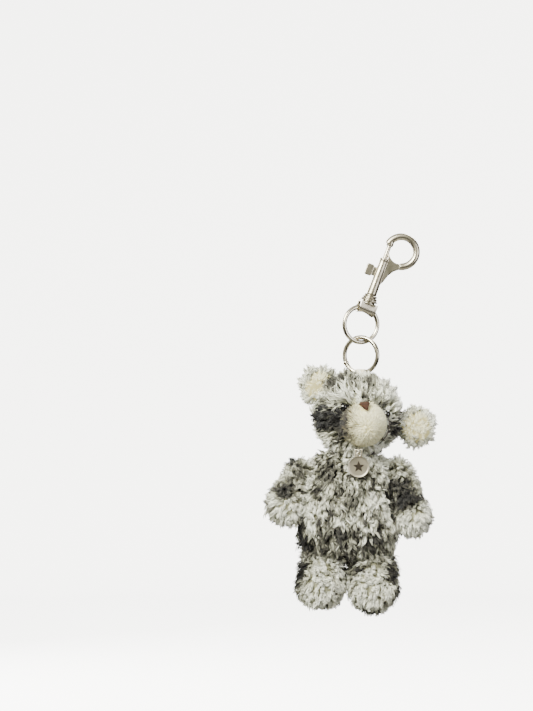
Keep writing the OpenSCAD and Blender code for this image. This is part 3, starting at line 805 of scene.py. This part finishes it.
def make_muzzle():
    """A padded muzzle under a short nap that is brushed out from its tip."""
    skin = stuffed_skin("muzzle_skin", "muzzle_stuffing", voxel=0.6, grow=0.3, mottle=0.1)
    skin_dye = muzzle_dye(corners_of(skin.data))
    skin.data.attributes["dye"].data.foreach_set("value", skin_dye.astype(np.float32))
    place(skin, "head", "muzzle_velour", muzzle_pile, "muzzle_cover", "muzzle_stuffing")

    roots, away, rng = roots_on(skin, 0.5, 51)
    bare_nose = clear_of(NOSE, 3.0)(roots)
    outside_head = np.linalg.norm(roots - HEAD, axis=1) > half("head_cover")[0] - 0.5
    roots, away = roots[bare_nose & outside_head], away[bare_nose & outside_head]
    count = len(roots)
    deep = half("muzzle_cover")[1]
    tip = MUZZLE + MUZZLE_AXIS * deep
    comb = from_point(tip, 2)(roots) + 0.35 * swirl_at(roots, 3.0, 4.0)
    comb = comb + 0.25 * rng.normal(size=roots.shape)
    comb = unit(comb - np.sum(comb * away, axis=1, keepdims=True) * away)
    # Longest where it meets the face, shaggier towards the left, and clipped short round the nose.
    rim = np.clip(1 - (roots - MUZZLE) @ MUZZLE_AXIS / (0.75 * deep), 0, 1)
    rim = rim * np.clip(1.1 - 1.3 * (roots - MUZZLE)[:, 0] / MUZZLE_R, 0.3, 2.2)
    clipped = np.interp(np.linalg.norm(roots - NOSE, axis=1), [3, 7], [0.3, 1])
    long = (rng.uniform(1.5, 2.6, count) * (1 + 0.5 * rim) * clipped)[:, None, None]
    high = (rng.uniform(0.6, 1.1, count) * (1 + 0.6 * rim) * clipped)[:, None, None]
    t = np.linspace(0, 1, 4)[None, :, None]
    paths = (roots - 0.2 * away)[:, None, :] + comb[:, None, :] * long * t**1.3
    paths = paths + away[:, None, :] * high * (1 - (1 - t) ** 1.8)
    piece, each = strands("muzzle_nap", paths, away, rng.uniform(0.3, 0.5, count))
    dye = np.clip(muzzle_dye(roots) + rng.normal(size=count) * 0.05, 0, 1)
    put_values(piece, "dye", np.repeat(dye, each))
    put_values(piece, "tint", np.repeat(rng.random(count), each))
    place(piece, "head", "muzzle_velour", muzzle_pile)


def make_nose():
    """Satin stitches side by side fill a kite and dive in at both ends."""
    sideways, upwards, outwards = flat_axes("nose_stitching")
    width, tall, shoulder = 2.7, 4.2, 1.4
    across = np.linspace(-width + 0.1, width - 0.1, 13)
    low = -tall + np.abs(across) * (shoulder + tall) / width
    high = np.interp(np.abs(across), [0, 0.6 * width, width], [tall - 0.8, tall - 0.8, shoulder])
    foot = NOSE + np.outer(across, sideways) + np.outer(low, upwards)
    head = NOSE + np.outer(across, sideways) + np.outer(high, upwards)
    crown = (0.35 + 0.55 * (1 - (across / width) ** 2))[:, None, None]
    sunk = 0.7  # how far the ends stand out of the muzzle's backing
    t = np.linspace(0, 1, 9)[None, :, None]
    paths = foot[:, None, :] * (1 - t) + head[:, None, :] * t
    paths = paths + outwards * (np.sin(np.pi * np.clip(t, 0.02, 0.98)) ** 0.5 * crown + sunk)
    up = np.tile(outwards, (len(across), 1))
    stitches, _ = strands("nose_stitches", paths, up, np.full(len(across), 0.62), flat=0.8, sides=8)
    place(stitches, "head", "nose_thread", satin, "nose_stitching")


def make_muzzle_shade_line():
    """The muzzle is sewn to the face. A dark strand along the right of the join is painted shade for the
    shadowed gap between the muzzle and the face fur.
    """
    right = unit(np.array([1.0, 0, 0]) - MUZZLE_AXIS[0] * MUZZLE_AXIS)
    up = np.cross(MUZZLE_AXIS, right)
    turn = np.radians(np.linspace(18, -62, 24))
    round_muzzle = np.outer(np.cos(turn), right) + np.outer(np.sin(turn), up)
    shade_line_path = MUZZLE + 2.8 * MUZZLE_AXIS + (MUZZLE_R + 0.9) * round_muzzle
    shade_strand, _ = strands("muzzle_shade_line", shade_line_path[None], MUZZLE_AXIS[None], np.array([0.5]), flat=1.0, sides=8)
    place(shade_strand, "head", "nose_thread", shade_line_thread)


def make_eyes():
    for side in ("left", "right"):
        node_finish(f"eye_{side}", bead)
        node_finish(f"eye_washer_{side}", washer)


# ---------------------------------------------------------------- stage, light and camera

VIEW_MIDDLE = np.array([-67.4, 0.0, -57.6])  # what the camera looks at
VIEW_HEIGHT = 355.5                          # how much it takes in there
SWEEP_RADIUS = 1700.0
SWEEP_MIDDLE = (-30.0, 0.0, 1000.0)
FLOOR = -300.0


def make_camera():
    camera = bpy.data.cameras.new("camera")
    camera.lens = 100.0
    camera.sensor_width = 36.0
    camera.clip_start = 0.01
    holder = bpy.data.objects.new("camera", camera)
    bpy.context.scene.collection.objects.link(holder)
    holder.location = Vector(VIEW_MIDDLE - [0, VIEW_HEIGHT * camera.lens / camera.sensor_width, 0]) * MM
    holder.rotation_euler = (math.radians(90), 0, 0)
    bpy.context.scene.camera = holder


def softbox(name, spot, size, power, tone="#FFFFFF"):
    """A square light at spot (mm), turned to the bear."""
    lamp = bpy.data.lights.new(name, "AREA")
    lamp.size = size * MM
    lamp.energy = power
    lamp.color = linear(tone)[:3]
    holder = bpy.data.objects.new(name, lamp)
    bpy.context.scene.collection.objects.link(holder)
    holder.location = Vector(spot) * MM
    holder.rotation_euler = (Vector(HEAD) - Vector(spot)).to_track_quat("-Z", "Y").to_euler()


def make_stage():
    """A pale flat floor that curves up into a pale wall all round."""
    fresh()
    bpy.ops.mesh.primitive_uv_sphere_add(segments=96, ring_count=64, radius=SWEEP_RADIUS * MM,
                                         location=Vector(SWEEP_MIDDLE) * MM)
    bpy.ops.object.transform_apply(location=True, rotation=True, scale=True)
    sweep = bpy.context.object
    sweep.name = "paper_sweep"
    for vertex in sweep.data.vertices:
        vertex.co.z = max(vertex.co.z, FLOOR * MM)
    bpy.ops.object.mode_set(mode="EDIT")
    bpy.ops.mesh.select_all(action="SELECT")
    bpy.ops.mesh.normals_make_consistent(inside=True)
    bpy.ops.object.mode_set(mode="OBJECT")
    bpy.ops.object.shade_smooth()
    material, tree, shader = new_material(
        "pale_paper_sweep", roughness=1.0, base_color=linear("#F3F2EF"), emission_color=linear("#FFFEFB"),
        emission_strength=5.0)
    material.cycles.emission_sampling = "NONE"
    sweep.data.materials.append(material)
    # The paper only shows as a background: it lights nothing, and the metal mirrors the studio instead.
    sweep.visible_glossy = False
    sweep.visible_diffuse = False
    sweep.visible_shadow = False


# The studio's tones from behind the bear, at 0, to the brightest side, at 1.
STUDIO_TONES = [(0.0, "#6B695C"), (0.2, "#22201B"), (0.5, "#262520"), (0.64, "#4A493F"), (0.78, "#737261"),
                (0.87, "#D3D2C1"), (0.94, "#FDFDF1")]
BRIGHT_SIDE = (-0.42, -0.5, 0.76)


def make_world():
    """The studio round the bear: bright above and to the front left, dim behind, a pale table below."""
    world = bpy.data.worlds.new("studio")
    bpy.context.scene.world = world
    world.use_nodes = True
    tree = world.node_tree
    way = add(tree, "TexCoord").outputs["Generated"]
    facing = add(tree, "VectorMath", [(0, way)], operation="DOT_PRODUCT", in1=BRIGHT_SIDE).outputs["Value"]
    level = add(tree, "MapRange", [("Value", facing)], from_min=-1.0, from_max=1.0)
    tone = add(tree, "ValToRGB", [("Fac", level.outputs[0])], STUDIO_TONES).outputs["Color"]
    height = add(tree, "SeparateXYZ", [("Vector", way)]).outputs["Z"]
    table = add(tree, "MapRange", [("Value", height)], from_min=-0.62, from_max=-0.8)
    both = add(tree, "MixRGB", [("Fac", table.outputs[0]), ("Color1", tone)], color2=linear("#D7D6C9"))
    tree.links.new(both.outputs[0], tree.nodes["Background"].inputs["Color"])
    tree.nodes["Background"].inputs["Strength"].default_value = 1.5


make_snap()
make_charm()
make_tab()
skins = make_skins()
make_head_pile(skins)
make_trunk_pile(skins)
make_limb_piles(skins)
make_ears(skins)
make_muzzle()
make_nose()
make_muzzle_shade_line()
make_eyes()
make_camera()
make_stage()
make_world()
softbox("key", (-420, -620, 380), 420, 27, "#FDFDF0")
softbox("fill", (480, -420, 0), 380, 3.0)
softbox("rim", (260, 420, 420), 320, 7)
softbox("back", (-380, 520, 60), 380, 8)
